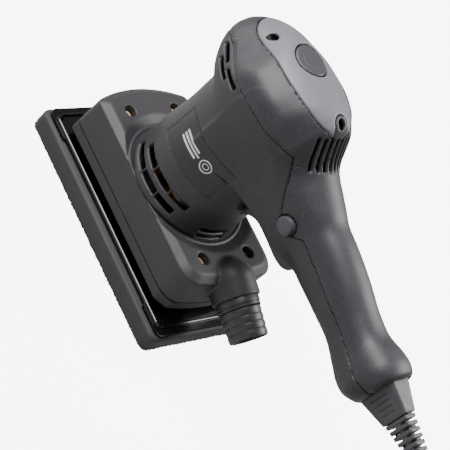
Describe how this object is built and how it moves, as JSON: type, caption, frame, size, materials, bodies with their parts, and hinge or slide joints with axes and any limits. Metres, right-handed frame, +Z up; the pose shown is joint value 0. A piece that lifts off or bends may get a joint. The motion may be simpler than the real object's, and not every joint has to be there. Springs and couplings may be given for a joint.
{
  "type": "orbital sander",
  "caption": "Half-sheet orbital sander with a rear handle, paddle trigger, lock button and swivelling dust nozzle; the motor's eccentric moves the flat pad in small circles.",
  "frame": {"origin": "on the pad's working face, under the motor axis", "axes": "+Z up along the motor axis, +X towards the handle end and cord, -Y the side with the lock button"},
  "size_m": [0.4504, 0.213, 0.2225],
  "materials": {
    "charcoal_plastic": "fine moulded grain, satin",
    "grey_plastic": "fine grain, satin",
    "dark_grey_plastic": "fine grain, satin",
    "black_gloss": "gloss black enamel",
    "pad_foam": "closed-cell foam skin",
    "hook_fabric": "hook pile",
    "black_screw": "black oxide",
    "pale_screw": "yellow zinc, satin",
    "bearing_steel": "ground steel",
    "electrical_steel": "varnished laminations",
    "copper": "enamelled copper",
    "carbon": "pressed carbon",
    "cast_weight": "as cast",
    "fan_plastic": "glass-filled nylon",
    "black_rubber": "moulded rubber, matt",
    "plug_brass": "nickel-plated brass"
  },
  "bodies": {
    "housing": {"skirt": "charcoal_plastic", "shroud": "charcoal_plastic", "shroud_screws": "pale_screw", "pad_legs": "black_rubber", "bearing_bridge": "charcoal_plastic", "lower_bearing": "bearing_steel", "upper_bearing": "bearing_steel", "motor_bracket": "charcoal_plastic", "field_core": "electrical_steel", "field_windings": "copper", "carbon_brushes": "carbon", "brush_holders": "charcoal_plastic", "lower_housing": "charcoal_plastic", "upper_housing": "charcoal_plastic", "top_cap": "grey_plastic", "cap_badge": "dark_grey_plastic", "cap_screws": "pale_screw", "handle_screws": "pale_screw", "label_panel": "dark_grey_plastic", "trigger_pin": "bearing_steel", "switch_body": "charcoal_plastic", "port_collar": "black_rubber", "strain_relief": "black_rubber", "inner_lead": "black_rubber", "cord_clamp": "charcoal_plastic", "clamp_screws": "pale_screw", "cord_tube": "black_rubber", "cord_coil": "black_rubber", "plug_body": "black_rubber", "plug_pins": "plug_brass"},
    "rotor": {"shaft": "bearing_steel", "counterweight": "cast_weight", "fan": "fan_plastic", "rotor_core": "electrical_steel", "rotor_windings": "copper", "commutator": "copper"},
    "pad": {"hook_face": "hook_fabric", "foam_pad": "pad_foam", "pad_plate": "black_gloss", "pad_plate_screws": "black_screw", "eccentric_bearing": "bearing_steel"},
    "nozzle": {"dust_nozzle": "black_rubber"},
    "trigger": {"trigger": "charcoal_plastic"},
    "lock_button": {"lock_button": "dark_grey_plastic"}
  },
  "joints": [
    {"name": "rotor_spin", "type": "hinge", "parent": "housing", "child": "rotor", "pos_m": [0, 0, 0.06], "axis": [0, 0, 1], "continuous": true},
    {"name": "pad_orbit", "type": "hinge", "parent": "rotor", "child": "pad", "pos_m": [0.0015, 0, 0.029], "axis": [0, 0, 1], "continuous": true},
    {"name": "nozzle_swivel", "type": "hinge", "parent": "housing", "child": "nozzle", "pos_m": [0.13, 0, 0.053], "axis": [0.98, 0, -0.199], "continuous": true},
    {"name": "trigger_pull", "type": "hinge", "parent": "housing", "child": "trigger", "pos_m": [0.062, 0, 0.132], "axis": [0, -1, 0], "range_deg": [0, 6], "stiffness_Nm_per_rad": 1, "springref_deg": -8.59},
    {"name": "button_press", "type": "slide", "parent": "housing", "child": "lock_button", "axis": [0, 1, 0], "range_m": [0, 0.003], "stiffness_N_per_m": 300, "springref_m": -0.003}
  ],
  "couplings": [
    {"joint": "pad_orbit", "follows": "rotor_spin", "ratio": -1}
  ]
}
